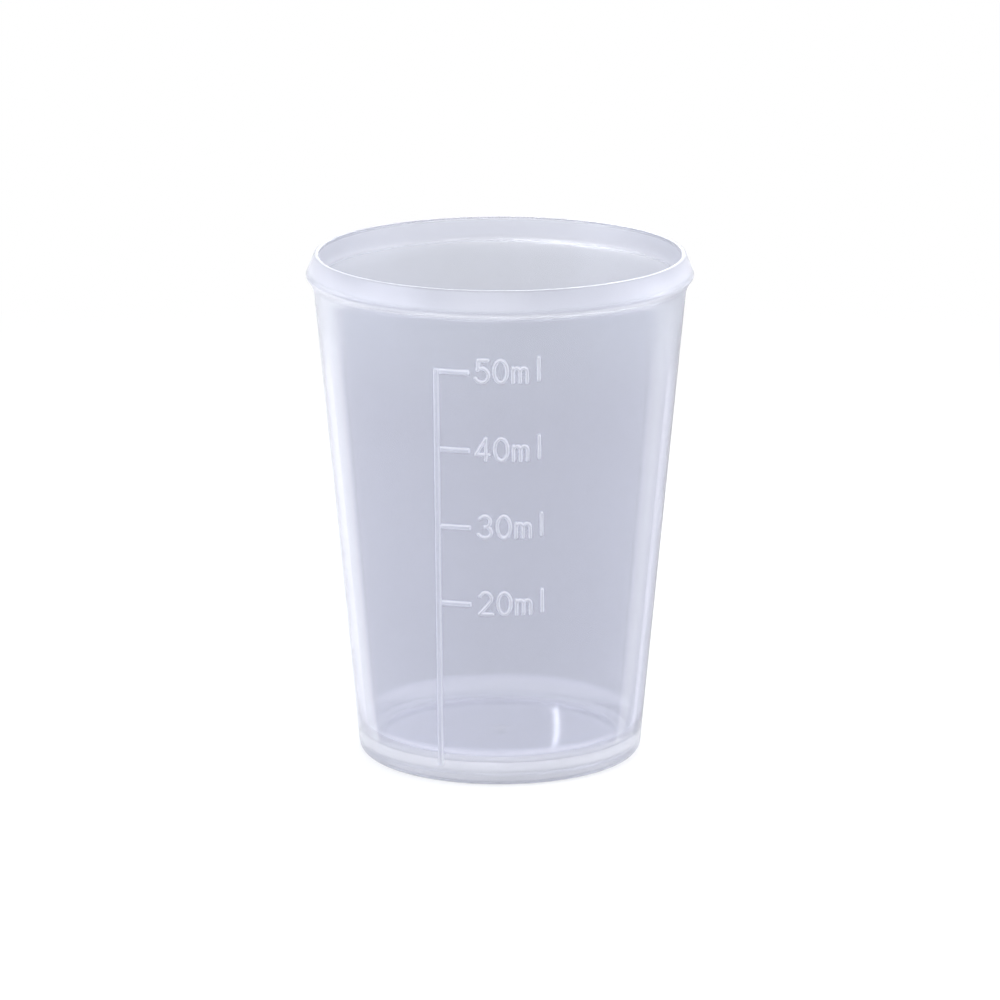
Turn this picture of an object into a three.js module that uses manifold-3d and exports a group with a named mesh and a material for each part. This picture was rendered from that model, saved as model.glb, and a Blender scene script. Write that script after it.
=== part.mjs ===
// Measuring cup for 50 ml: a tapered, translucent moulding with a lid bead under its lip
// and a raised scale on its front. Millimetres, +Z up; it stands on z = 0 and the scale faces -Y.
import * as THREE from 'three';
import { mergeVertices } from 'three/addons/utils/BufferGeometryUtils.js';
import Module from 'manifold-3d';

// Taper and wall. The two radii are the outer taper carried down to the table and up to the lip.
const cupHeight = 61;
const footRadius = 16.9;
const mouthRadius = 22.5;
const wallThickness = 1;

// Base: a foot ring round a shallow hollow, and the floor above it
const footHeight = 1.3;
const footWidth = 2.3;
const footOuterRounding = 1.2;
const footInnerRounding = 0.4;
const floorThickness = 1.25;
const floorFillet = 2.2;

// Rim: a thin lip, a lead-in taper out to the lid bead, and the fairing from the bead into the wall
const lipThickness = 0.55;
const lipRounding = 0.25;
const beadProud = 0.82;
const beadDrop = 2.55;
const beadRounding = 0.45;
const beadUnderside = 1.2;
const beadFairing = 3.5;
const rimSkirt = 1.25;

// Scale: one upright line with a tick every 10 ml, raised from the wall
const reliefHeight = 0.25;
const reliefSeat = 0.02;
const lineOffset = -5.6;
const lineWidth = 0.65;
const lineFootGap = 1.05;
const topTickDrop = 9.76;
const tickPitch = 9.47;
const tickWidth = 0.6;
const tickLength = 3.6;
const tickVolumes = [50, 40, 30, 20];

// Stub of the moulding gate under the floor
const gateRadius = 0.9;
const gateHeight = 0.4;
const gateRounding = 0.2;
const gateFacets = 24;

// Fineness of the round forms
const facets = 96;
const arcSteps = 5;

const floorTop = footHeight + floorThickness;
const wallBottom = floorTop + floorFillet;
const beadHeight = cupHeight - beadDrop;
const fairingHeight = beadHeight - beadUnderside;
const wallTop = fairingHeight - rimSkirt;
const topTickHeight = cupHeight - topTickDrop;

const taper = (mouthRadius - footRadius) / cupHeight;
const outerRadius = (z) => footRadius + taper * z;
const innerRadius = (z) => outerRadius(z) - wallThickness * Math.hypot(1, taper);

// Arc that rounds a corner, between points at the same setback along its two sides
function cornerArc(corner, toBefore, toAfter, setback) {
  const halfAngle = toBefore.angleTo(toAfter) / 2;
  const start = toBefore.clone().setLength(setback);
  const end = toAfter.clone().setLength(setback);
  const centre = start.clone().add(end).setLength(setback / Math.cos(halfAngle));
  const sweep = Math.PI - 2 * halfAngle;
  const turn = Math.sign(start.clone().sub(centre).cross(end.clone().sub(centre))) * sweep;
  return Array.from({ length: arcSteps + 1 }, (_, step) =>
    start.clone().rotateAround(centre, (turn * step) / arcSteps).add(corner));
}

// Closed outline through corners given as [radius, height, rounding], anticlockwise.
// Where two roundings don't both fit on a side, they shrink alike to share it.
function outline(corners) {
  const count = corners.length;
  const points = corners.map(([radius, height]) => new THREE.Vector2(radius, height));
  const next = (index, step) => (index + step + count) % count;
  const side = (index, step) => points[next(index, step)].clone().sub(points[index]);
  const setbacks = corners.map(([, , rounding = 0], index) =>
    rounding / Math.tan(side(index, -1).angleTo(side(index, 1)) / 2));
  const share = (index, step) => {
    const wanted = setbacks[index] + setbacks[next(index, step)];
    return wanted > 0 ? Math.min(1, side(index, step).length() / wanted) : 1;
  };
  return points.flatMap((corner, index) => {
    const setback = setbacks[index] * Math.min(share(index, -1), share(index, 1));
    return setback > 0 ? cornerArc(corner, side(index, -1), side(index, 1), setback) : [corner];
  });
}

// Ring or disc about the Z axis from such an outline. A disc's outline starts and ends on the axis.
function revolve(corners, sides = facets) {
  const points = outline(corners);
  const meetsAxis = points[0].x === 0;
  const profile = meetsAxis ? points : [...points, points[0].clone()];
  return new THREE.LatheGeometry(profile, sides).rotateX(Math.PI / 2);
}

const wasm = await Module();
wasm.setup();

// Solid for joins and cuts, from a closed geometry
function toSolid(geometry) {
  geometry.deleteAttribute('normal');
  geometry.deleteAttribute('uv');
  const welded = mergeVertices(geometry);
  return new wasm.Manifold(new wasm.Mesh({
    numProp: 3,
    vertProperties: welded.attributes.position.array,
    triVerts: new Uint32Array(welded.index.array),
  }));
}

function toGeometry(solid) {
  const mesh = solid.getMesh();
  const geometry = new THREE.BufferGeometry();
  geometry.setAttribute('position', new THREE.BufferAttribute(mesh.vertProperties, 3));
  geometry.setIndex(new THREE.BufferAttribute(mesh.triVerts, 1));
  return geometry;
}

function footRing() {
  const inner = footRadius - footWidth;
  return revolve([
    [inner, 0, footInnerRounding],
    [outerRadius(0), 0, footOuterRounding],
    [outerRadius(footHeight), footHeight],
    [inner, footHeight],
  ]);
}

function baseFloor() {
  return revolve([
    [0, footHeight],
    [outerRadius(footHeight), footHeight],
    [outerRadius(wallBottom), wallBottom],
    [innerRadius(wallBottom), wallBottom],
    [innerRadius(floorTop), floorTop, floorFillet],
    [0, floorTop],
  ]);
}

function sideWall() {
  return revolve([
    [innerRadius(wallBottom), wallBottom],
    [outerRadius(wallBottom), wallBottom],
    [outerRadius(wallTop), wallTop],
    [innerRadius(wallTop), wallTop],
  ]);
}

function rimBead() {
  const lipInner = innerRadius(cupHeight);
  return revolve([
    [innerRadius(wallTop), wallTop],
    [outerRadius(wallTop), wallTop],
    [outerRadius(fairingHeight), fairingHeight, beadFairing],
    [outerRadius(beadHeight) + beadProud, beadHeight, beadRounding],
    [lipInner + lipThickness, cupHeight, lipRounding],
    [lipInner, cupHeight, lipRounding],
  ]);
}

// Mark raised from the wall: its flat outline, carried straight back in Y, takes its share of a
// thin shell that follows the taper, so its face and its seat keep to the wall
function raisedMark(left, right, bottom, top) {
  const seat = (z) => outerRadius(z) + reliefSeat;
  const shell = revolve([
    [seat(bottom), bottom],
    [seat(bottom) + reliefHeight, bottom],
    [seat(top) + reliefHeight, top],
    [seat(top), top],
  ]);
  const face = new THREE.Shape([
    new THREE.Vector2(left, bottom - reliefHeight),
    new THREE.Vector2(right, bottom - reliefHeight),
    new THREE.Vector2(right, top + reliefHeight),
    new THREE.Vector2(left, top + reliefHeight),
  ]);
  const depth = mouthRadius + reliefHeight;
  const cutter = new THREE.ExtrudeGeometry(face, { depth, bevelEnabled: false }).rotateX(Math.PI / 2);
  return toGeometry(toSolid(shell).intersect(toSolid(cutter)));
}

function scaleLine() {
  const bottom = footOuterRounding + lineFootGap;
  const top = topTickHeight + tickWidth / 2;
  return raisedMark(lineOffset - lineWidth / 2, lineOffset + lineWidth / 2, bottom, top);
}

function tick(index) {
  const height = topTickHeight - index * tickPitch;
  const left = lineOffset + lineWidth / 2;
  return raisedMark(left, left + tickLength, height - tickWidth / 2, height + tickWidth / 2);
}

function gateMark() {
  const bottom = footHeight - gateHeight;
  return revolve([
    [0, bottom],
    [gateRadius, bottom, gateRounding],
    [gateRadius, footHeight],
    [0, footHeight],
  ], gateFacets);
}

// Natural polypropylene: milky, a little blue, and see-through in a thin wall
function milkyPlastic(color, opacity) {
  return new THREE.MeshStandardMaterial({ color, opacity, roughness: 0.35, metalness: 0, transparent: true });
}

const measuringCup = new THREE.Group();
measuringCup.name = 'measuring_cup';

function addPiece(name, geometry, material) {
  const piece = new THREE.Mesh(geometry, material);
  piece.name = name;
  measuringCup.add(piece);
}

addPiece('foot_ring', footRing(), milkyPlastic(0xc8cde0, 0.6));
addPiece('base_floor', baseFloor(), milkyPlastic(0xccd0e4, 0.6));
addPiece('side_wall', sideWall(), milkyPlastic(0xc6cbdc, 0.5));
addPiece('rim_bead', rimBead(), milkyPlastic(0xdde1ee, 0.65));
addPiece('scale_line', scaleLine(), milkyPlastic(0xdadeec, 0.8));
tickVolumes.forEach((volume, index) => {
  addPiece(`tick_${volume}ml`, tick(index), milkyPlastic(0xdadeec, 0.8));
});
addPiece('gate_mark', gateMark(), milkyPlastic(0xd6daea, 0.7));

export default measuringCup;
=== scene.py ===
"""Looks of a small measuring cup: one milky, see-through moulding with a raised scale on its front.

Lengths are in metres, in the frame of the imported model: +Z up, the foot on z = 0, the scale facing -Y.
"""

from __future__ import annotations

import logging
import math
from collections.abc import Iterator, Mapping, Sequence
from dataclasses import dataclass, field
from enum import Enum
from typing import Any

import bmesh
import bpy
import numpy as np
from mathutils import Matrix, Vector


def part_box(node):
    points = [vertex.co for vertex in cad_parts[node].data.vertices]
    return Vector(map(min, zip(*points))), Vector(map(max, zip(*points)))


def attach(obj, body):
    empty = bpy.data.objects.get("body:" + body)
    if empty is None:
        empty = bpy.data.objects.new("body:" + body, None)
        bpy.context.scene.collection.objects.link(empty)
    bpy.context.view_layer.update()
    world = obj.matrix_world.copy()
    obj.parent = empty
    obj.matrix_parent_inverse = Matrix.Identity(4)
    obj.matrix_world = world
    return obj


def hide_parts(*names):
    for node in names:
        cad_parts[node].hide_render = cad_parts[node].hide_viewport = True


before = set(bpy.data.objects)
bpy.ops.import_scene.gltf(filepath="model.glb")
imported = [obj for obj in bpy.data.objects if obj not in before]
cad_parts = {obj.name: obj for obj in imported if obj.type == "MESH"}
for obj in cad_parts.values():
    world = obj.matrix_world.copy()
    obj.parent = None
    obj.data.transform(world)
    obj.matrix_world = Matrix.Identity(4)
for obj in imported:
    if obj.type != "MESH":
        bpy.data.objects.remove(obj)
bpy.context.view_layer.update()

log = logging.getLogger("measuring_cup")

MM = 0.001
TINY = 1e-6 * MM
BODY = "root"

Colour = tuple[float, float, float]
Point = tuple[float, float]
Span = tuple[float, float]

WHITE: Colour = (1.0, 1.0, 1.0)
BLACK: Colour = (0.0, 0.0, 0.0)
NOISE_MEAN = 0.5


def opaque(colour: Colour) -> tuple[float, float, float, float]:
    """The colour with a full alpha, as sockets take it."""
    return (*colour, 1.0)


class MathOp(Enum):
    """Sums that a Math node can do here."""

    ADD = "ADD"
    SUBTRACT = "SUBTRACT"
    MULTIPLY = "MULTIPLY"
    MAXIMUM = "MAXIMUM"
    ANGLE = "ARCTAN2"


class VectorOp(Enum):
    """What a Vector Math node can do here."""

    MULTIPLY = "MULTIPLY"
    NORMALIZE = "NORMALIZE"
    LENGTH = "LENGTH"
    DOT = "DOT_PRODUCT"


class Signal:
    """A value on its way through a material's nodes, which can be used in a sum."""

    def __init__(self, graph: NodeGraph, socket: bpy.types.NodeSocket | None) -> None:
        """Wraps an output socket of a node in the graph, or none for a last node."""
        self.graph = graph
        self.socket = socket

    def _sum(self, operation: MathOp, first: Any, second: Any) -> Signal:
        """One Math node on two values or signals.

        Args:
            operation: What the node does.
            first: Its first value.
            second: Its second value.

        Returns:
            The node's result.
        """
        return self.graph.add("ShaderNodeMath", {"operation": operation.value}, {0: first, 1: second})

    def __add__(self, other: Any) -> Signal:
        """Self plus other."""
        return self._sum(MathOp.ADD, self, other)

    def __radd__(self, other: Any) -> Signal:
        """Other plus self."""
        return self._sum(MathOp.ADD, other, self)

    def __sub__(self, other: Any) -> Signal:
        """Self less other."""
        return self._sum(MathOp.SUBTRACT, self, other)

    def __rsub__(self, other: Any) -> Signal:
        """Other less self."""
        return self._sum(MathOp.SUBTRACT, other, self)

    def __mul__(self, other: Any) -> Signal:
        """Self times other."""
        return self._sum(MathOp.MULTIPLY, self, other)

    def __rmul__(self, other: Any) -> Signal:
        """Other times self."""
        return self._sum(MathOp.MULTIPLY, other, self)

    def __or__(self, other: Any) -> Signal:
        """The larger of self and other, as one mask or the other."""
        return self._sum(MathOp.MAXIMUM, self, other)


class NodeGraph:
    """The node tree of a material or a world, emptied and ready to be wired."""

    def __init__(self, owner: bpy.types.Material | bpy.types.World) -> None:
        """Turns the owner's nodes on and clears them.

        Args:
            owner: The material or world.
        """
        owner.use_nodes = True
        self.tree = owner.node_tree
        self.tree.nodes.clear()

    def add(
        self,
        kind: str,
        settings: Mapping[str, Any] | None = None,
        inputs: Mapping[str | int, Any] | None = None,
        output: str | int = 0,
    ) -> Signal:
        """Adds any node.

        Args:
            kind: The node's type.
            settings: The node's own properties, which are set first.
            inputs: Values or signals for its sockets, by name or number.
            output: Which of its outputs is wanted.

        Returns:
            That output.
        """
        node = self.tree.nodes.new(kind)
        for name, value in (settings or {}).items():
            setattr(node, name, value)
        for key, value in (inputs or {}).items():
            if isinstance(value, Signal):
                self.tree.links.new(value.socket, node.inputs[key])
            else:
                node.inputs[key].default_value = value
        return Signal(self, node.outputs[output] if node.outputs else None)

    def blend(self, factor: Signal, low: Colour | Signal, high: Colour | Signal) -> Signal:
        """A colour between two others.

        Args:
            factor: 0 gives low and 1 gives high.
            low: The first colour.
            high: The second colour.

        Returns:
            The mixed colour.
        """
        ends = [end if isinstance(end, Signal) else opaque(end) for end in (low, high)]
        return self.add(
            "ShaderNodeMix",
            {"data_type": "RGBA", "clamp_factor": True},
            {"Factor": factor, 6: ends[0], 7: ends[1]},
            output=2,
        )

    def ramp(self, value: Signal, starts: float, full: float) -> Signal:
        """A soft step of a value.

        Args:
            value: What is measured.
            starts: Where the step is still 0.
            full: Where it reaches 1, which may lie below its start.

        Returns:
            The step.
        """
        return self.add(
            "ShaderNodeMapRange",
            {"interpolation_type": "SMOOTHSTEP"},
            {"Value": value, "From Min": starts, "From Max": full},
        )

    def place(self) -> Signal:
        """The spot that is shaded, in the piece's own coordinates."""
        return self.add("ShaderNodeTexCoord", output="Object")

    def off_axis(self) -> Signal:
        """The level arrow from the cup's axis to that spot."""
        level = {"operation": VectorOp.MULTIPLY.value}
        return self.add("ShaderNodeVectorMath", level, {0: self.place(), 1: (1, 1, 0)})

    def noise(self, scale: Sequence[float], detail: float) -> Signal:
        """Soft noise in the piece's own coordinates.

        Args:
            scale: Waves per metre along X, Y and Z.
            detail: Finer layers on top of the first.

        Returns:
            The noise, about 0.5 on average.
        """
        stretched = self.add("ShaderNodeMapping", {}, {"Vector": self.place(), "Scale": tuple(scale)})
        return self.add("ShaderNodeTexNoise", {}, {"Vector": stretched, "Scale": 1.0, "Detail": detail})


@dataclass(frozen=True)
class Gauge:
    """A measure of a place on the moulding: shares of its distance from the axis and of its height."""

    radius: float = 0.0
    height: float = 0.0

    def read(self, graph: NodeGraph) -> Signal:
        """Takes the measure at the spot that is shaded.

        Args:
            graph: Where its nodes go.

        Returns:
            The measure, in metres.
        """
        length = {"operation": VectorOp.LENGTH.value}
        distance = graph.add("ShaderNodeVectorMath", length, {0: graph.off_axis()}, output="Value")
        height = graph.add("ShaderNodeSeparateXYZ", {}, {0: graph.place()}, output="Z")
        return self.radius * distance + self.height * height


@dataclass(frozen=True)
class Limit:
    """One bound of a zone, as a soft step from outside the zone to inside it."""

    gauge: Gauge
    outside: float
    inside: float

    def step(self, graph: NodeGraph) -> Signal:
        """1 inside the bound and 0 outside it."""
        return graph.ramp(self.gauge.read(graph), self.outside, self.inside)


class Gloss(Enum):
    """Roughness that the mould leaves on the plastic."""

    POLISHED = 0.03
    SMOOTH = 0.06
    SILKY = 0.16
    SATIN = 0.26


@dataclass(frozen=True)
class Zone:
    """A stretch of the moulding with a tint and a gloss of its own; the tint may be painted light or shade.
    """

    limits: Sequence[Limit]
    colour: Colour
    gloss: Gloss

    def share(self, graph: NodeGraph) -> Signal:
        """How far a spot belongs to the zone.

        Args:
            graph: Where its nodes go.

        Returns:
            1 inside all of the zone's bounds and 0 outside any of them.
        """
        first, *others = (limit.step(graph) for limit in self.limits)
        for step in others:
            first = first * step
        return first


@dataclass(frozen=True)
class MilkyPlastic:
    """Natural polypropylene: it scatters a bluish haze, lets the rest through and has a soft gloss.

    The zones are laid over the mottled plastic in their order; some paint light or shade. In the cloudy
    zone more light is scattered.
    Waves are counted per metre. Lamps shine through the plastic by the lamp share.
    """

    name: str
    zones: Sequence[Zone]
    cloudy: Zone
    cloudy_cover: float = 0.5
    pale: Colour = (0.878, 0.888, 1.0)
    deep: Colour = (0.828, 0.838, 0.945)
    clearness: float = 0.78
    gloss: Gloss = Gloss.POLISHED
    roughness_swing: float = 0.02
    ior: float = 1.49
    mottle_waves: float = 70.0
    mottle_detail: float = 3.0
    streak_waves: tuple[float, float, float] = (260.0, 260.0, 18.0)
    streak_detail: float = 2.0
    streak_share: float = 0.4
    ripple_waves: float = 240.0
    ripple_detail: float = 1.0
    ripple_depth: float = 0.002 * MM
    lamp_share: float = 0.8
    lamp_colour: Colour = (0.9, 0.91, 0.94)

    def material(self) -> bpy.types.Material:
        """Makes the finish.

        Returns:
            The material, with its haze, gloss and ripple from nodes.
        """
        made = bpy.data.materials.new(self.name)
        graph = NodeGraph(made)
        mottle = graph.noise((self.mottle_waves,) * 3, self.mottle_detail)
        streak = graph.noise(self.streak_waves, self.streak_detail)
        paleness = (1 - self.streak_share) * mottle + self.streak_share * streak
        colour = graph.blend(paleness, self.deep, self.pale)
        roughness = self.gloss.value + self.roughness_swing * (mottle - NOISE_MEAN)
        # Some zones paint shade and light into the colour: a darker inner side, and a whiter upper wall,
        # bead, floor and lower ring.
        for zone in self.zones:
            share = zone.share(graph)
            colour = graph.blend(share, colour, zone.colour)
            roughness = roughness + share * (zone.gloss.value - roughness)
        ripple = graph.noise((self.ripple_waves,) * 3, self.ripple_detail)
        bump = graph.add(
            "ShaderNodeBump", {}, {"Strength": 1.0, "Distance": self.ripple_depth, "Height": ripple}
        )
        clear = graph.add(
            "ShaderNodeBsdfPrincipled",
            {},
            {
                "Base Color": colour,
                "Roughness": roughness,
                "IOR": self.ior,
                "Transmission Weight": self.clearness,
                "Normal": bump,
            },
        )
        cloudy = graph.add(
            "ShaderNodeBsdfPrincipled",
            {},
            {
                "Base Color": opaque(self.cloudy.colour),
                "Roughness": self.cloudy.gloss.value,
                "Normal": bump,
            },
        )
        cover = self.cloudy_cover * self.cloudy.share(graph)
        plastic = graph.add("ShaderNodeMixShader", {}, {0: cover, 1: clear, 2: cloudy})
        lamp = graph.add("ShaderNodeLightPath", output="Is Shadow Ray")
        open_to_lamps = graph.add("ShaderNodeBsdfTransparent", {}, {"Color": opaque(self.lamp_colour)})
        surface = graph.add(
            "ShaderNodeMixShader", {}, {0: self.lamp_share * lamp, 1: plastic, 2: open_to_lamps}
        )
        graph.add("ShaderNodeOutputMaterial", {}, {"Surface": surface})
        return made


@dataclass(frozen=True)
class RaisedHaze:
    """The raised marks: the same plastic, thicker and whiter, seen as a thin haze whose edges are painted
    brighter as if lit.

    A spot counts as an edge by the cosine between its face and straight out from the cup's axis; there the
    haze covers more, a painted highlight.
    """

    name: str
    pale: Colour
    deep: Colour
    face_cover: float = 0.28
    edge_cover: float = 0.4
    edge_starts: float = 0.96
    edge_full: float = 0.6
    roughness: float = 0.4
    roughness_swing: float = 0.2
    speckle_waves: float = 900.0
    speckle_detail: float = 2.0
    scatter_depth: float = 0.4 * MM
    scatter_reach: tuple[float, float, float] = (1.0, 1.0, 1.0)

    def material(self) -> bpy.types.Material:
        """Makes the finish.

        Returns:
            The material, partly clear.
        """
        made = bpy.data.materials.new(self.name)
        graph = NodeGraph(made)
        speckle = graph.noise((self.speckle_waves,) * 3, self.speckle_detail)
        unit, dot = ({"operation": kind.value} for kind in (VectorOp.NORMALIZE, VectorOp.DOT))
        outward = graph.add("ShaderNodeVectorMath", unit, {0: graph.off_axis()})
        facing = graph.add("ShaderNodeNewGeometry", output="Normal")
        flat = graph.add("ShaderNodeVectorMath", dot, {0: facing, 1: outward}, output="Value")
        edge = graph.ramp(flat, self.edge_starts, self.edge_full)
        haze = graph.add(
            "ShaderNodeBsdfPrincipled",
            {},
            {
                "Base Color": graph.blend(speckle, self.deep, self.pale),
                "Roughness": self.roughness + self.roughness_swing * (speckle - NOISE_MEAN),
                "Subsurface Weight": 1.0,
                "Subsurface Radius": self.scatter_reach,
                "Subsurface Scale": self.scatter_depth,
            },
        )
        clear = graph.add("ShaderNodeBsdfTransparent", {}, {"Color": opaque(WHITE)})
        # Thicker haze on the steep edges: a painted highlight along the marks.
        cover = self.face_cover + (self.edge_cover - self.face_cover) * edge
        surface = graph.add("ShaderNodeMixShader", {}, {0: cover, 1: clear, 2: haze})
        graph.add("ShaderNodeOutputMaterial", {}, {"Surface": surface})
        return made


@dataclass(frozen=True)
class Corner:
    """A corner of a turned outline: its distance from the axis, its height and its rounding."""

    radius: float
    height: float
    rounding: float = 0.0

    @property
    def place(self) -> Vector:
        """The corner as a point."""
        return Vector((self.radius, self.height))


@dataclass(frozen=True)
class TurnedForm:
    """A form turned about the Z axis from an outline that starts and ends on the axis."""

    corners: Sequence[Corner]
    sides: int = 336
    arc_steps: int = 12
    longest_step: float = 1.5 * MM

    def _rounded(self, index: int) -> list[Vector]:
        """The corner with its rounding.

        Args:
            index: Which corner.

        Returns:
            The points of its arc, or the corner alone.
        """
        corner = self.corners[index]
        if corner.rounding == 0:
            return [corner.place]
        before = self.corners[index - 1].place - corner.place
        after = self.corners[index + 1].place - corner.place
        half = before.angle(after) / 2
        setback = corner.rounding / math.tan(half)
        start, end = before.normalized() * setback, after.normalized() * setback
        centre = (start + end).normalized() * (setback / math.cos(half))
        arm = start - centre
        turn = math.copysign(math.pi - 2 * half, arm.cross(end - centre))
        points = []
        for step in range(self.arc_steps + 1):
            angle = turn * step / self.arc_steps
            cos, sin = math.cos(angle), math.sin(angle)
            swung = Vector((arm.x * cos - arm.y * sin, arm.x * sin + arm.y * cos))
            points.append(corner.place + centre + swung)
        return points

    def outline(self) -> list[Vector]:
        """The whole outline, with its long sides cut into even steps.

        Returns:
            Points from the first corner to the last.
        """
        bare = [point for index in range(len(self.corners)) for point in self._rounded(index)]
        points = [bare[0]]
        for end in bare[1:]:
            start = points[-1]
            cuts = max(1, math.ceil((end - start).length / self.longest_step))
            points += [start.lerp(end, cut / cuts) for cut in range(1, cuts + 1)]
        return points

    def mesh(self, name: str) -> bpy.types.Mesh:
        """Turns the outline.

        Args:
            name: The mesh's name.

        Returns:
            A closed mesh, shaded smooth.
        """
        builder = bmesh.new()
        rings = []
        for point in self.outline():
            if point.x < TINY:
                rings.append([builder.verts.new((0, 0, point.y))])
                continue
            turns = [math.tau * side / self.sides for side in range(self.sides)]
            spots = [(point.x * math.cos(a), point.x * math.sin(a), point.y) for a in turns]
            rings.append([builder.verts.new(spot) for spot in spots])
        for low, high in zip(rings, rings[1:]):
            for side in range(self.sides):
                after = (side + 1) % self.sides
                face = [low[side % len(low)], low[after % len(low)]]
                face += [high[after % len(high)], high[side % len(high)]]
                builder.faces.new(dict.fromkeys(face))
        bmesh.ops.recalc_face_normals(builder, faces=builder.faces)
        for face in builder.faces:
            face.smooth = True
        made = bpy.data.meshes.new(name)
        builder.to_mesh(made)
        builder.free()
        return made


def add_piece(
    mesh: bpy.types.Mesh,
    material: bpy.types.Material,
    nodes: Sequence[str],
    casts_shadow: bool = True,
) -> None:
    """Shows a mesh as a piece of the cup.

    Args:
        mesh: The piece's mesh, whose name the piece takes.
        material: Its finish.
        nodes: The solids that it stands for.
        casts_shadow: Whether it shades what is behind it.
    """
    mesh.materials.append(material)
    piece = bpy.data.objects.new(mesh.name, mesh)
    piece.visible_shadow = casts_shadow
    bpy.context.scene.collection.objects.link(piece)
    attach(piece, BODY)
    if nodes:
        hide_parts(*nodes)
    log.info("%s: %d faces", piece.name, len(mesh.polygons))


@dataclass
class CupBody:
    """The moulding itself: foot, floor, tapered wall, lid bead and lip in one skin."""

    wall: float = 1.0 * MM
    floor: float = 1.25 * MM
    floor_fillet: float = 2.2 * MM
    foot_width: float = 2.3 * MM
    foot_outer_rounding: float = 1.2 * MM
    foot_inner_rounding: float = 0.4 * MM
    hollow_fillet: float = 0.5 * MM
    lip: float = 0.55 * MM
    lip_rounding: float = 0.24 * MM
    bead_drop: float = 2.55 * MM
    bead_proud: float = 0.82 * MM
    bead_rounding: float = 0.45 * MM
    bead_underside: float = 1.2 * MM
    bead_fairing: float = 3.5 * MM
    gate_dimple_radius: float = 1.1 * MM
    gate_dimple_flat: float = 0.682 * MM
    gate_dimple_rounding: float = 0.1375 * MM
    gate_dimple_depth: float = 0.02 * MM
    hollow: float = field(init=False)
    rim: float = field(init=False)
    height: float = field(init=False)
    taper: float = field(init=False)
    foot_radius: float = field(init=False)

    def __post_init__(self) -> None:
        """Takes the taper, the height, the rim's lower end and the foot's hollow from the frame."""
        base_low, base_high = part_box("base_floor")
        rim_low, rim_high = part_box("rim_bead")
        wall_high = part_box("side_wall")[1]
        self.hollow = base_low.z
        self.rim, self.height = rim_low.z, rim_high.z
        self.taper = (wall_high.x - base_high.x) / (wall_high.z - base_high.z)
        self.foot_radius = base_high.x - self.taper * base_high.z

    def outer(self, height: float) -> float:
        """The outer radius of the taper at a height."""
        return self.foot_radius + self.taper * height

    def inner(self, height: float) -> float:
        """The inner radius of the wall at a height."""
        return self.outer(height) - self.wall * math.hypot(1, self.taper)

    def corners(self) -> list[Corner]:
        """The outline from the middle of the underside, round the rim, to the middle of the floor.

        Returns:
            Its corners.
        """
        hollow_radius = self.foot_radius - self.foot_width
        floor_top = self.hollow + self.floor
        bead = self.height - self.bead_drop
        fairing = bead - self.bead_underside
        lip_inner = self.inner(self.height)
        dimple_bottom = floor_top - self.gate_dimple_depth
        return [
            Corner(0, self.hollow),
            Corner(hollow_radius, self.hollow, self.hollow_fillet),
            Corner(hollow_radius, 0, self.foot_inner_rounding),
            Corner(self.foot_radius, 0, self.foot_outer_rounding),
            Corner(self.outer(fairing), fairing, self.bead_fairing),
            Corner(self.outer(bead) + self.bead_proud, bead, self.bead_rounding),
            Corner(lip_inner + self.lip, self.height, self.lip_rounding),
            Corner(lip_inner, self.height, self.lip_rounding),
            Corner(self.inner(floor_top), floor_top, self.floor_fillet),
            Corner(self.gate_dimple_radius, floor_top, self.gate_dimple_rounding),
            Corner(self.gate_dimple_flat, dimple_bottom, self.gate_dimple_rounding),
            Corner(0, dimple_bottom),
        ]

    def build(self, finish: MilkyPlastic) -> None:
        """Turns the moulding and dresses it.

        Args:
            finish: Its plastic.
        """
        mesh = TurnedForm(self.corners()).mesh("cup_moulding")
        nodes = ("foot_ring", "base_floor", "side_wall", "rim_bead")
        add_piece(mesh, finish.material(), nodes)


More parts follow.
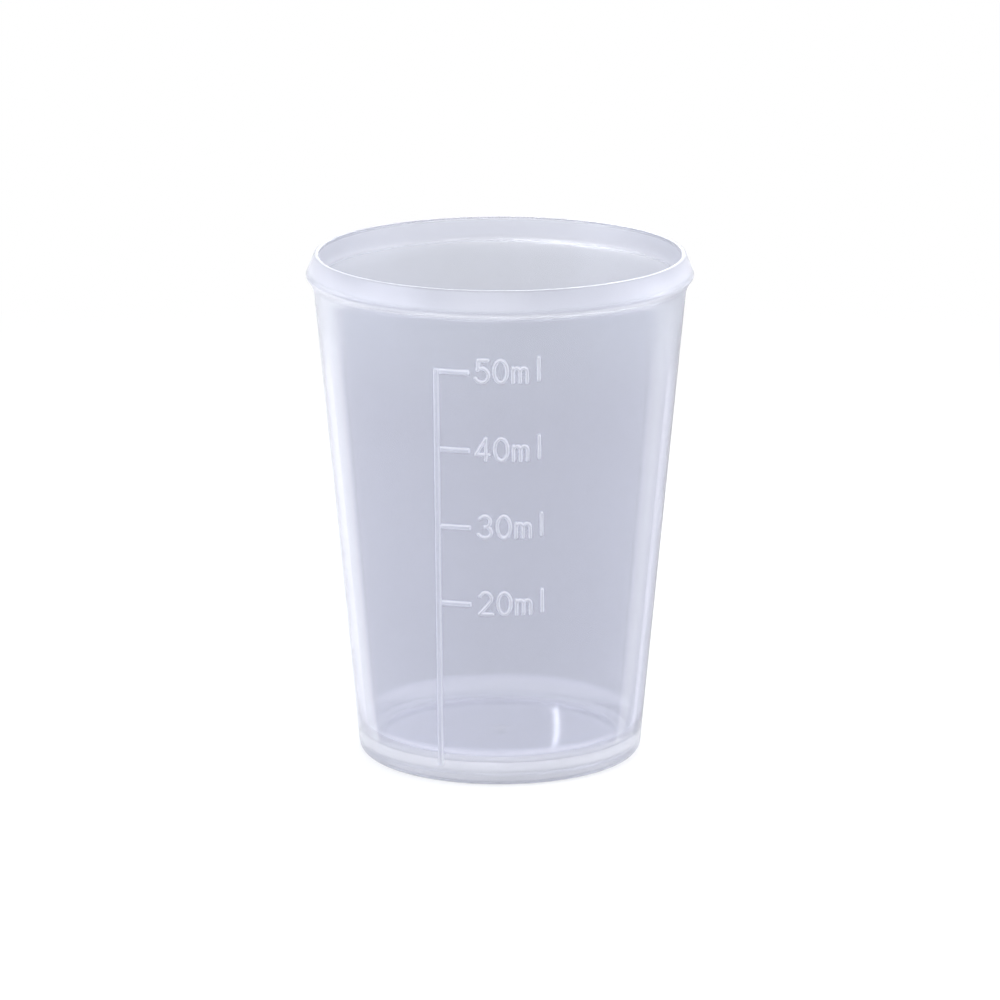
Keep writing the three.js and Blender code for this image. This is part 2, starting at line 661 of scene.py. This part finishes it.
@dataclass(frozen=True)
class CupZones:
    """Where the cup is drawn whiter, greyer or more satin than in its wall, mostly as painted light and
    shade.

    Each span gives where a soft step is still 0 and where it is full. The spans of the upper wall, the bead
    and the lip's inner side are heights from the rim's lower end, and the lip's edge is measured from its
    top. Those of the fillet, the lower ring and the foot are heights from the floor's underside. The floor
    and the gate blush are distances from the axis.
    """

    cup: CupBody
    face_change: float = 0.15 * MM
    upper_wall: Span = (-13.0 * MM, 1.0 * MM)
    upper_inside: Span = (-14.0 * MM, -1.0 * MM)
    bead: Span = (2.1 * MM, 2.5 * MM)
    lip_inside: Span = (1.9 * MM, 2.6 * MM)
    lip_edge: Span = (-0.45 * MM, -0.15 * MM)
    fillet: Span = (3.6 * MM, 2.6 * MM)
    lower_ring: Span = (3.8 * MM, 0.9 * MM)
    foot: Span = (0.5 * MM, -0.1 * MM)
    floor: Span = (14.2 * MM, 13.4 * MM)
    gate_blush: Span = (1.25 * MM, 0.95 * MM)

    @staticmethod
    def _from(level: float, span: Span) -> Limit:
        """A bound by heights from a level of the cup."""
        return Limit(Gauge(height=1), level + span[0], level + span[1])

    @staticmethod
    def _round(span: Span) -> Limit:
        """A bound by distances from the axis."""
        return Limit(Gauge(radius=1), *span)

    def _inner_face(self) -> Limit:
        """The inner half of the wall, which follows the taper."""
        middle = self.cup.foot_radius - self.cup.wall / 2
        across = Gauge(radius=1, height=-self.cup.taper)
        return Limit(across, middle + self.face_change, middle - self.face_change)

    def tints(self) -> tuple[Zone, ...]:
        """The zones with a tint and a gloss of their own; most of the tints are painted light or shade.

        Returns:
            The zones, in the order in which they are laid over each other.
        """
        base, rim, top = self.cup.hollow, self.cup.rim, self.cup.height
        inner, fillet = self._inner_face(), self._from(base, self.fillet)
        return (
            # Painted light: the upper wall is whiter, as if more light reached it from above.
            Zone((self._from(rim, self.upper_wall),), (0.92, 0.935, 1.0), Gloss.SATIN),
            # Painted shade: the inner side of the wall is darker, as if the inside of the cup got less
            # light.
            Zone((inner,), (0.525, 0.53, 0.54), Gloss.POLISHED),
            # Painted shade on the inner side of the upper wall, a little lighter and bluer.
            Zone((self._from(rim, self.upper_inside), inner), (0.538, 0.551, 0.595), Gloss.POLISHED),
            # Painted light: the bead and lip are whiter, as if lit on their upward faces.
            Zone((self._from(rim, self.bead),), (0.935, 0.945, 1.0), Gloss.SATIN),
            # Painted shade, deepest on the lip's inner side.
            Zone((self._from(rim, self.lip_inside), inner), (0.21, 0.2125, 0.23), Gloss.SATIN),
            # Painted shade, less deep at the lip's rounded edge.
            Zone((self._from(top, self.lip_edge), inner), (0.72, 0.725, 0.765), Gloss.SATIN),
            # Painted light: the inner side of the floor fillet is whiter, as if lit from above and by light
            # gathered in the plastic.
            Zone((fillet, inner), (0.975, 0.975, 1.0), Gloss.SILKY),
            # Painted light: the lower ring is whiter, as if lit by light gathered at the floor.
            Zone((self._from(base, self.lower_ring),), (0.935, 0.94, 0.975), Gloss.SATIN),
            Zone((self._from(base, self.foot),), (0.7, 0.71, 0.76), Gloss.SATIN),
            # Painted light: the floor is whiter, as if more light fell on it from above.
            Zone((fillet, self._round(self.floor)), (0.925, 0.93, 0.99), Gloss.POLISHED),
            Zone((self._round(self.gate_blush),), WHITE, Gloss.SMOOTH),
        )

    def cloudy_lip(self) -> Zone:
        """The lip's inner side below its rounded edge, where the plastic scatters more.

        Returns:
            The zone.
        """
        below_edge = self._from(self.cup.height, self.lip_edge[::-1])
        limits = (self._from(self.cup.rim, self.lip_inside), below_edge, self._inner_face())
        return Zone(limits, (0.89, 0.892, 0.935), Gloss.SATIN)


@dataclass
class GateMark:
    """The stub that the moulding gate leaves under the middle of the floor."""

    finish: RaisedHaze
    rounding: float = 0.2 * MM
    seat: float = 0.02 * MM
    sides: int = 48
    arc_steps: int = 6

    def build(self) -> None:
        """Turns the stub and dresses it."""
        low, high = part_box("gate_mark")
        corners = [
            Corner(0, low.z),
            Corner(high.x, low.z, self.rounding),
            Corner(high.x, high.z - self.seat),
            Corner(0, high.z - self.seat),
        ]
        mesh = TurnedForm(corners, self.sides, self.arc_steps).mesh("gate_stub")
        add_piece(mesh, self.finish.material(), ("gate_mark",))


def arc(centre: Point, radii: Point, start: float, end: float, steps: int = 20) -> list[Point]:
    """Points along an arc of an ellipse.

    Args:
        centre: The ellipse's centre.
        radii: Its half width and half height.
        start: The first angle in degrees, anticlockwise from the right.
        end: The last angle.
        steps: How many straight pieces the arc has.

    Returns:
        The points.
    """
    angles = [math.radians(start + (end - start) * step / steps) for step in range(steps + 1)]
    return [(centre[0] + radii[0] * math.cos(a), centre[1] + radii[1] * math.sin(a)) for a in angles]


class Glyph(Enum):
    """The figures and letters of the scale."""

    ZERO = "0"
    TWO = "2"
    THREE = "3"
    FOUR = "4"
    FIVE = "5"
    M = "m"
    L = "l"

    def strokes(self) -> list[list[Point]]:
        """The middle lines of the strokes, in a cell one unit wide and one high.

        Returns:
            One list of points for each stroke.
        """
        match self:
            case Glyph.ZERO:
                return [arc((0.5, 0.5), (0.5, 0.5), 0, 360, 40)]
            case Glyph.TWO:
                return [arc((0.48, 0.72), (0.46, 0.28), 160, -28) + [(0, 0), (1, 0)]]
            case Glyph.THREE:
                upper = arc((0.48, 0.75), (0.42, 0.25), 150, -90)
                lower = arc((0.46, 0.26), (0.52, 0.26), 80, -155)
                return [upper, lower]
            case Glyph.FOUR:
                return [[(0.75, 0), (0.75, 1), (0, 0.27), (1, 0.27)]]
            case Glyph.FIVE:
                return [[(0.95, 1), (0.22, 1), (0.2, 0.54)], arc((0.47, 0.32), (0.53, 0.32), 128, -155)]
            case Glyph.M:
                arch = 0.28
                left = arc((0.25, 1 - arch), (0.25, arch), 180, 0) + [(0.5, 0)]
                right = arc((0.75, 1 - arch), (0.25, arch), 180, 0) + [(1, 0)]
                return [[(0, 1), (0, 0)], left, right]
            case Glyph.L:
                return [[(0, 0), (0, 1)]]


CELL_CORNERS = ((0, 0), (1, 0), (1, 1), (0, 1))


@dataclass
class Relief:
    """A mark raised from the wall with soft edges, whose seat laps into the wall."""

    cup: CupBody
    rise: float = 0.25 * MM
    lap: float = 0.05 * MM
    edge: float = 0.2 * MM
    backing: float = 0.04 * MM

    def _height(self, inside: np.ndarray) -> np.ndarray:
        """The mark's height above the wall.

        Args:
            inside: Distances in from the mark's edge, negative outside it.

        Returns:
            Heights, down to the lap below the wall's face.
        """
        ramp = np.clip(inside / self.edge + self.lap / (self.lap + self.rise), 0, 1)
        return (self.rise + self.lap) * ramp * ramp * (3 - 2 * ramp) - self.lap

    def _on_wall(self, x: np.ndarray, z: np.ndarray, height: np.ndarray) -> np.ndarray:
        """Places points of the flat front view on the tapered wall.

        Args:
            x: Places to the right of the middle.
            z: Heights above the table.
            height: Heights above the wall's face.

        Returns:
            One row of coordinates for each point.
        """
        radius = self.cup.foot_radius + self.cup.taper * z
        y = -np.sqrt(radius**2 - x**2)
        normal = np.stack([x / radius, y / radius, np.full_like(z, -self.cup.taper)], axis=1)
        normal /= np.linalg.norm(normal, axis=1, keepdims=True)
        return np.stack([x, y, z], axis=1) + normal * height[:, None]

    def mesh(self, name: str, x: np.ndarray, z: np.ndarray, inside: np.ndarray) -> bpy.types.Mesh:
        """Raises a mark from a grid over its front view.

        Args:
            name: The mesh's name.
            x: The grid's columns.
            z: The grid's rows.
            inside: Distances in from the mark's edge, by column and row.

        Returns:
            A closed mesh, shaded smooth.
        """
        height = self._height(inside)
        raised = height > -self.lap + TINY
        cells = raised[:-1, :-1] | raised[1:, :-1] | raised[:-1, 1:] | raised[1:, 1:]
        columns, rows = np.meshgrid(x, z, indexing="ij")
        count = height.size
        face = self._on_wall(columns.ravel(), rows.ravel(), height.ravel())
        back = self._on_wall(columns.ravel(), rows.ravel(), np.full(count, -self.lap - self.backing))
        number = np.arange(count).reshape(height.shape)
        faces: list[tuple[int, ...]] = []
        open_edges: dict[tuple[int, int], None] = {}
        for i, j in np.argwhere(cells):
            ring = [int(number[i + along, j + up]) for along, up in CELL_CORNERS]
            faces.append(tuple(ring))
            faces.append(tuple(count + corner for corner in reversed(ring)))
            for start, end in zip(ring, ring[1:] + ring[:1]):
                if (end, start) in open_edges:
                    del open_edges[(end, start)]
                else:
                    open_edges[(start, end)] = None
        faces += [(end, start, count + start, count + end) for start, end in open_edges]
        made = bpy.data.meshes.new(name)
        made.from_pydata(np.vstack([face, back]).tolist(), [], faces)
        builder = bmesh.new()
        builder.from_mesh(made)
        bmesh.ops.delete(builder, geom=[v for v in builder.verts if not v.link_faces], context="VERTS")
        bmesh.ops.recalc_face_normals(builder, faces=builder.faces)
        for polygon in builder.faces:
            polygon.smooth = True
        builder.to_mesh(made)
        builder.free()
        return made


@dataclass
class Bar:
    """A straight raised bar of the scale, which stands for one solid of the frame."""

    node: str
    relief: Relief
    finish: RaisedHaze
    rounding: float = 0.12 * MM
    fine: float = 0.04 * MM
    coarse: float = 0.25 * MM
    margin: float = 0.12 * MM
    fine_margins: int = 4

    def build(self) -> None:
        """Raises the bar over its solid and dresses it."""
        low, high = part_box(self.node)
        upright = high.z - low.z > high.x - low.x
        step_x, step_z = (self.fine, self.coarse) if upright else (self.coarse, self.fine)
        x = self._grid(low.x, high.x, step_x)
        z = self._grid(low.z, high.z, step_z)
        columns, rows = np.meshgrid(x, z, indexing="ij")
        past_x = np.abs(columns - (low.x + high.x) / 2) - (high.x - low.x) / 2 + self.rounding
        past_z = np.abs(rows - (low.z + high.z) / 2) - (high.z - low.z) / 2 + self.rounding
        beyond = np.hypot(np.maximum(past_x, 0), np.maximum(past_z, 0))
        inside = self.rounding - beyond - np.minimum(np.maximum(past_x, past_z), 0)
        mesh = self.relief.mesh(f"raised_{self.node}", x, z, inside)
        add_piece(mesh, self.finish.material(), (self.node,), casts_shadow=False)

    def _grid(self, low: float, high: float, step: float) -> np.ndarray:
        """Places along one side of the bar, close together at its ends.

        Args:
            low: Where the bar starts.
            high: Where it ends.
            step: The step along its middle.

        Returns:
            The places, with a margin beyond both ends.
        """
        ends = np.arange(-self.margin, self.fine_margins * self.margin, self.fine)
        middle_from, middle_to = low + ends[-1], high - ends[-1]
        count = max(2, round((middle_to - middle_from) / step))
        middle = np.linspace(middle_from, middle_to, count + 1)[1:-1]
        return np.concatenate([low + ends, middle, (high - ends)[::-1]])


@dataclass
class Figures:
    """The raised figures and unit beside one tick."""

    tick: str
    text: str
    relief: Relief
    finish: RaisedHaze
    indent: float
    lift: float = 0.2 * MM
    gap: float = 0.52 * MM
    stroke: float = 0.4 * MM
    digit_width: float = 1.9 * MM
    digit_height: float = 3.06 * MM
    spacing: float = 0.26 * MM
    m_width: float = 2.02 * MM
    m_height: float = 2.12 * MM
    l_gap: float = 0.92 * MM
    l_raise: float = 0.24 * MM
    step: float = 0.04 * MM
    margin: float = 0.12 * MM

    def _cells(self) -> Iterator[tuple[Glyph, Point, Point]]:
        """Lays the glyphs out from left to right.

        Yields:
            Each glyph, the low corner of its middle lines and their width and height.
        """
        low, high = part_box(self.tick)
        middle = (low.z + high.z) / 2
        left = high.x + self.gap + self.indent + self.stroke / 2
        bottom = middle + self.lift - self.digit_height / 2 + self.stroke / 2
        thin = self.stroke
        for letter in self.text:
            glyph = Glyph(letter)
            match glyph:
                case Glyph.M:
                    width, height = self.m_width - thin, self.m_height - thin
                    yield glyph, (left, bottom), (width, height)
                    left += self.m_width + self.l_gap
                case Glyph.L:
                    yield glyph, (left, bottom + self.l_raise), (thin, self.digit_height - thin)
                case _:
                    yield glyph, (left, bottom), (self.digit_width - thin, self.digit_height - thin)
                    left += self.digit_width + self.spacing

    def build(self) -> None:
        """Raises the figures and dresses them."""
        strokes = [
            np.array(stroke) * size + corner
            for glyph, corner, size in self._cells()
            for stroke in glyph.strokes()
        ]
        points = np.vstack(strokes)
        reach = self.stroke / 2 + self.margin
        x = np.arange(points[:, 0].min() - reach, points[:, 0].max() + reach, self.step)
        z = np.arange(points[:, 1].min() - reach, points[:, 1].max() + reach, self.step)
        spots = np.stack(np.meshgrid(x, z, indexing="ij"), axis=-1)
        nearest = np.full(spots.shape[:2], np.inf)
        for stroke in strokes:
            for start, end in zip(stroke, stroke[1:]):
                nearest = np.minimum(nearest, self._distance(spots, start, end))
        mesh = self.relief.mesh(f"figures_{self.text}", x, z, self.stroke / 2 - nearest)
        add_piece(mesh, self.finish.material(), (), casts_shadow=False)

    @staticmethod
    def _distance(spots: np.ndarray, start: np.ndarray, end: np.ndarray) -> np.ndarray:
        """How far spots lie from a straight stretch.

        Args:
            spots: Points of the front view.
            start: Where the stretch starts.
            end: Where it ends.

        Returns:
            The distances.
        """
        along = end - start
        share = np.clip((spots - start) @ along / max(along @ along, TINY**2), 0, 1)
        return np.linalg.norm(spots - start - share[..., None] * along, axis=-1)


@dataclass
class RaisedScale:
    """The scale on the cup's front: an upright line, and a tick with its figures for each volume."""

    relief: Relief
    finish: RaisedHaze
    upper: Sequence[str] = ("50ml", "40ml")
    lower: Sequence[str] = ("30ml", "20ml")
    lower_indent: float = 0.22 * MM

    def build(self) -> None:
        """Raises the line, the ticks and their figures."""
        Bar("scale_line", self.relief, self.finish).build()
        for text in (*self.upper, *self.lower):
            indent = self.lower_indent if text in self.lower else 0.0
            tick = f"tick_{text}"
            Bar(tick, self.relief, self.finish).build()
            Figures(tick, text, self.relief, self.finish, indent).build()


class LampTint(Enum):
    """Colours of the lamps."""

    DAYLIGHT = (0.98, 1.0, 1.12)
    PLAIN = WHITE


def towards(azimuth: float, elevation: float = 0.0) -> Vector:
    """The direction at an angle round from the front, positive to the right, and up from the table."""
    turn, rise = math.radians(azimuth), math.radians(elevation)
    return Vector((math.sin(turn) * math.cos(rise), -math.cos(turn) * math.cos(rise), math.sin(rise)))


@dataclass(frozen=True)
class Softbox:
    """A soft lamp aimed at the cup."""

    name: str
    azimuth: float
    elevation: float
    watts: float
    tint: LampTint = LampTint.DAYLIGHT
    distance: float = 1.0
    width: float = 0.7
    height: float = 0.7
    aim_height: float = 30 * MM
    shows_through: bool = True

    def build(self) -> None:
        """Hangs the lamp, out of the camera's sight."""
        lamp = bpy.data.lights.new(self.name, "AREA")
        lamp.shape = "RECTANGLE"
        lamp.size, lamp.size_y = self.width, self.height
        lamp.energy = self.watts
        lamp.color = self.tint.value
        holder = bpy.data.objects.new(self.name, lamp)
        bpy.context.scene.collection.objects.link(holder)
        away = towards(self.azimuth, self.elevation)
        holder.location = away * self.distance + Vector((0, 0, self.aim_height))
        holder.rotation_euler = (-away).to_track_quat("-Z", "Y").to_euler()
        holder.visible_camera = False
        holder.visible_transmission = self.shows_through


@dataclass(frozen=True)
class TableCard:
    """A card on the table beside the cup, which shows only in the gloss of the cup's wall.

    It fans out from under the spot where the wall mirrors it. Its four directions, and that spot's, are
    angles round from the front, positive to the right. A glow below 0 makes the card darker than the table.
    """

    name: str
    dark_from: float
    full_from: float
    full_to: float
    dark_to: float
    glow: float
    mirror: float
    mirror_radius: float = 19.5 * MM
    near: float = 2 * MM
    far: float = 260 * MM
    lift: float = 1 * MM
    steps: int = 24

    def _mesh(self) -> bpy.types.Mesh:
        """The card's sector, with its middle line along +X.

        Returns:
            The mesh.
        """
        half = math.radians(abs(self.dark_to - self.dark_from)) / 2
        turns = [half * (2 * step / self.steps - 1) for step in range(self.steps + 1)]
        corners = [(r * math.cos(a), r * math.sin(a), 0) for a in turns for r in (self.near, self.far)]
        made = bpy.data.meshes.new(self.name)
        made.from_pydata(corners, [], [(i, i + 1, i + 3, i + 2) for i in range(0, 2 * self.steps, 2)])
        return made

    def _material(self) -> bpy.types.Material:
        """White as the table at its two straight sides, and brighter or darker between them.

        Returns:
            The material.
        """
        made = bpy.data.materials.new(self.name)
        graph = NodeGraph(made)
        middle = (self.dark_from + self.dark_to) / 2
        x, y = (graph.add("ShaderNodeSeparateXYZ", {}, {0: graph.place()}, output=axis) for axis in "XY")
        angle = graph.add("ShaderNodeMath", {"operation": MathOp.ANGLE.value}, {0: y, 1: x})
        dark_from, full_from, full_to, dark_to = (
            math.radians(side - middle)
            for side in (self.dark_from, self.full_from, self.full_to, self.dark_to)
        )
        share = graph.ramp(angle, dark_from, full_from) * graph.ramp(angle, dark_to, full_to)
        colour = graph.blend(share, WHITE, (1 + self.glow,) * 3)
        light = graph.add("ShaderNodeEmission", {}, {"Color": colour, "Strength": 1.0})
        graph.add("ShaderNodeOutputMaterial", {}, {"Surface": light})
        return made

    def build(self) -> None:
        """Lays the card."""
        mesh = self._mesh()
        mesh.materials.append(self._material())
        card = bpy.data.objects.new(self.name, mesh)
        bpy.context.scene.collection.objects.link(card)
        card.location = towards(self.mirror) * self.mirror_radius + Vector((0, 0, self.lift))
        middle = towards((self.dark_from + self.dark_to) / 2)
        card.rotation_euler = (0, 0, math.atan2(middle.y, middle.x))
        card.visible_camera = False
        card.visible_diffuse = False
        card.visible_transmission = False
        card.visible_shadow = False


@dataclass(frozen=True)
class Studio:
    """A white table in a white room, with soft lamps."""

    lamps: Sequence[Softbox | TableCard]
    floor_side: float = 6.0
    floor_gap: float = 0.05 * MM
    floor_colour: Colour = (0.3, 0.3, 0.3)
    floor_roughness: float = 0.9
    floor_glow: float = 0.65
    floor_fades_from: float = 0.1
    floor_fades_to: float = 0.26
    room_light: Colour = (1.06, 1.1, 1.18)

    def build(self) -> None:
        """Lays the floor, lights the room and hangs the lamps."""
        self._floor()
        self._room()
        for lamp in self.lamps:
            lamp.build()

    @staticmethod
    def _in_view(graph: NodeGraph) -> Signal:
        """Tells the rays that show the room: seen straight, mirrored or through the plastic.

        Args:
            graph: Where its nodes go.

        Returns:
            1 for such rays and 0 for those that only light the cup.
        """
        seen = [
            graph.add("ShaderNodeLightPath", output=f"Is {kind} Ray")
            for kind in ("Camera", "Glossy", "Transmission")
        ]
        return seen[0] | seen[1] | seen[2]

    def _floor(self) -> None:
        """A pale floor, white where it is seen, still shaded under the cup and clear from below."""
        half, low = self.floor_side / 2, -self.floor_gap
        mesh = bpy.data.meshes.new("floor")
        corners = [(-half, -half, low), (half, -half, low), (half, half, low), (-half, half, low)]
        mesh.from_pydata(corners, [], [(0, 1, 2, 3)])
        material = bpy.data.materials.new("pale_floor")
        graph = NodeGraph(material)
        away = graph.ramp(Gauge(radius=1).read(graph), self.floor_fades_from, self.floor_fades_to)
        glow = graph.blend(away, (self.floor_glow,) * 3, WHITE)
        surface = graph.add(
            "ShaderNodeBsdfPrincipled",
            {},
            {
                "Base Color": graph.blend(away, self.floor_colour, BLACK),
                "Roughness": self.floor_roughness,
                "Specular IOR Level": 0.0,
                "Emission Color": graph.blend(self._in_view(graph), BLACK, glow),
                "Emission Strength": 1.0,
            },
        )
        below = graph.add("ShaderNodeNewGeometry", output="Backfacing")
        clear = graph.add("ShaderNodeBsdfTransparent", {}, {"Color": opaque(WHITE)})
        either = graph.add("ShaderNodeMixShader", {}, {0: below, 1: surface, 2: clear})
        graph.add("ShaderNodeOutputMaterial", {}, {"Surface": either})
        mesh.materials.append(material)
        floor = bpy.data.objects.new("floor", mesh)
        bpy.context.scene.collection.objects.link(floor)

    def _room(self) -> None:
        """A white room that lights the cup softly."""
        room = bpy.data.worlds.new("room")
        bpy.context.scene.world = room
        graph = NodeGraph(room)
        colour = graph.blend(self._in_view(graph), self.room_light, WHITE)
        light = graph.add("ShaderNodeBackground", {}, {"Color": colour, "Strength": 1.0})
        graph.add("ShaderNodeOutputWorld", {}, {"Surface": light})


@dataclass(frozen=True)
class PhotoCamera:
    """The camera at the photograph's angle."""

    azimuth: float = 5.0
    tilt: float = 14.18
    distance: float = 0.6421
    height: float = 0.19296
    focal_pixels: float = 5523.0
    image_pixels: float = 1000.0
    sensor: float = 36.0

    def build(self) -> None:
        """Sets the camera up."""
        data = bpy.data.cameras.new("photo_camera")
        data.sensor_width = self.sensor
        data.lens = self.focal_pixels / self.image_pixels * self.sensor
        camera = bpy.data.objects.new("photo_camera", data)
        bpy.context.scene.collection.objects.link(camera)
        turn = math.radians(self.azimuth)
        camera.location = (self.distance * math.sin(turn), -self.distance * math.cos(turn), self.height)
        camera.rotation_euler = (math.radians(90 - self.tilt), 0, turn)
        bpy.context.scene.camera = camera


def main() -> None:
    """Builds the cup and its studio."""
    logging.basicConfig(level=logging.INFO, format="%(name)s: %(message)s")
    bpy.context.scene.view_settings.view_transform = "Standard"
    PhotoCamera().build()
    cup = CupBody()
    zones = CupZones(cup)
    cup.build(MilkyPlastic("milky_plastic", zones.tints(), zones.cloudy_lip()))
    # The gate stub's haze also gets a faint painted highlight on its edges.
    gate_haze = RaisedHaze(
        "gate_haze", pale=(0.96, 0.965, 1.0), deep=(0.92, 0.925, 0.97), face_cover=0.06, edge_cover=0.12
    )
    GateMark(gate_haze).build()
    scale_haze = RaisedHaze("raised_scale", pale=(0.95, 0.955, 1.0), deep=(0.89, 0.9, 0.96))
    RaisedScale(Relief(cup), scale_haze).build()
    Studio(
        lamps=(
            Softbox("left_softbox", azimuth=-68, elevation=15, watts=3.4),
            Softbox("right_softbox", azimuth=85, elevation=50, watts=2.7),
            Softbox("side_softbox", azimuth=100, elevation=15, watts=2.3),
            Softbox("front_softbox", azimuth=-5, elevation=46, watts=2.45, tint=LampTint.PLAIN),
            Softbox("back_softbox", azimuth=180, elevation=30, watts=2.4, shows_through=False),
            Softbox(
                "strip_lamp",
                azimuth=-177.6,
                elevation=16.5,
                watts=0.032,
                tint=LampTint.PLAIN,
                distance=0.5,
                width=2 * MM,
                height=150 * MM,
                aim_height=2.5 * MM,
            ),
            TableCard(
                "left_card",
                dark_from=-158,
                full_from=-127,
                full_to=-122,
                dark_to=-112,
                glow=1.2,
                mirror=-62,
            ),
            TableCard(
                "right_card",
                dark_from=145,
                full_from=129,
                full_to=122,
                dark_to=114,
                glow=0.8,
                mirror=67,
            ),
            TableCard(
                "right_flag",
                dark_from=200,
                full_from=176,
                full_to=158,
                dark_to=145,
                glow=-0.42,
                mirror=86,
            ),
        )
    ).build()


if __name__ == "__main__":
    main()
